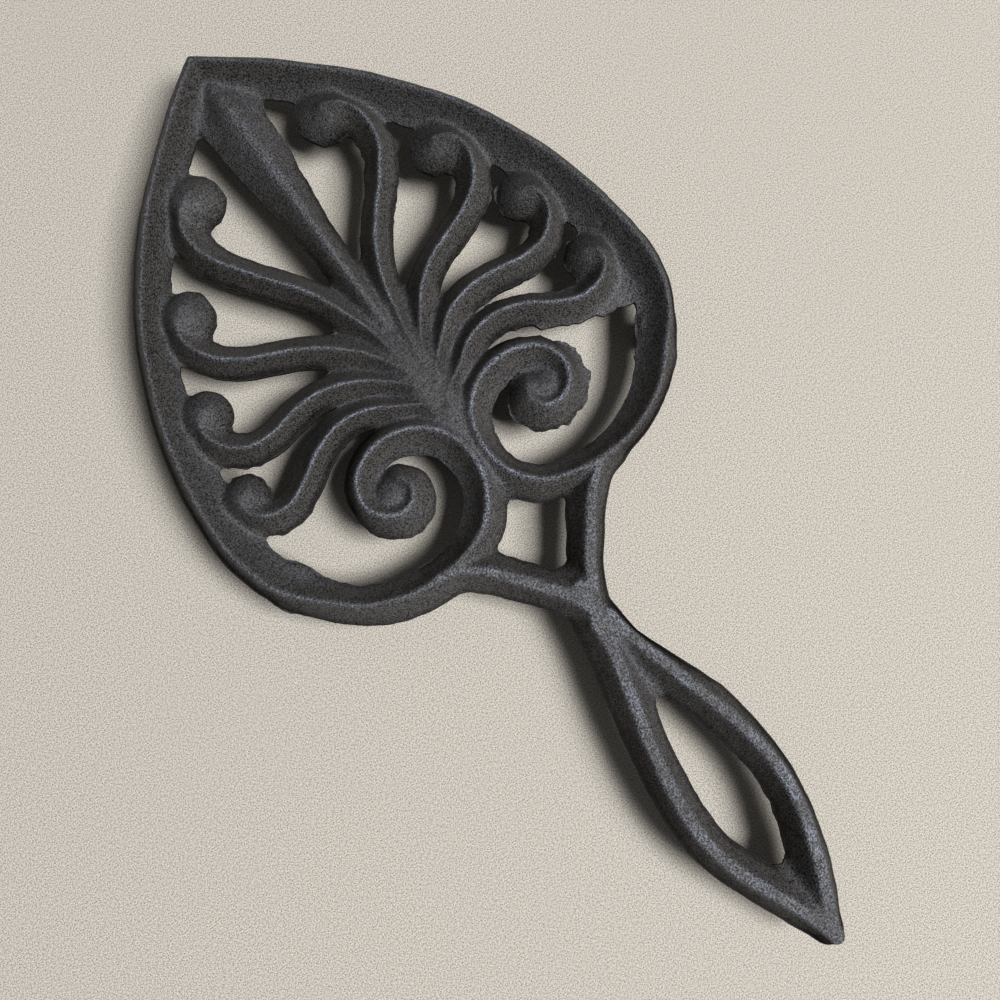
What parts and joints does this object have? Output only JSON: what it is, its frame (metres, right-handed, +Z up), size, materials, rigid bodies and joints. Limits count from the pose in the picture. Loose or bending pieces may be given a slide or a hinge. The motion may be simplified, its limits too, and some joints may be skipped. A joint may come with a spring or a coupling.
{
  "type": "trivet",
  "caption": "Sand-cast iron trivet: a palmette with curling fronds and volutes inside a pointed heart-shaped rim, with a leaf-shaped loop handle, on short pegs",
  "frame": {"origin": "on the table plane, below the middle of the part's bounding box in plan", "axes": "+Y to the point of the rim, -Y to the handle, +X to the right seen from above, +Z up from the table"},
  "size_m": [0.121, 0.2445, 0.02],
  "materials": {
    "cast_iron": "dark brown-black as-cast iron with sand grain, crests worn smoother and slightly shiny"
  },
  "bodies": {
    "root": {"frond_1_left": "cast_iron", "frond_1_right": "cast_iron", "frond_2_left": "cast_iron", "frond_2_right": "cast_iron", "frond_3_left": "cast_iron", "frond_3_right": "cast_iron", "frond_4_left": "cast_iron", "frond_4_right": "cast_iron", "front_foot": "cast_iron", "handle_arm_left": "cast_iron", "handle_arm_right": "cast_iron", "handle_stem": "cast_iron", "lobe_left": "cast_iron", "lobe_right": "cast_iron", "neck_bar_left": "cast_iron", "neck_bar_right": "cast_iron", "palmette_hub": "cast_iron", "rear_foot_left": "cast_iron", "rear_foot_right": "cast_iron", "rim_left": "cast_iron", "rim_right": "cast_iron", "spear": "cast_iron", "volute_left": "cast_iron", "volute_right": "cast_iron"}
  },
  "joints": []
}
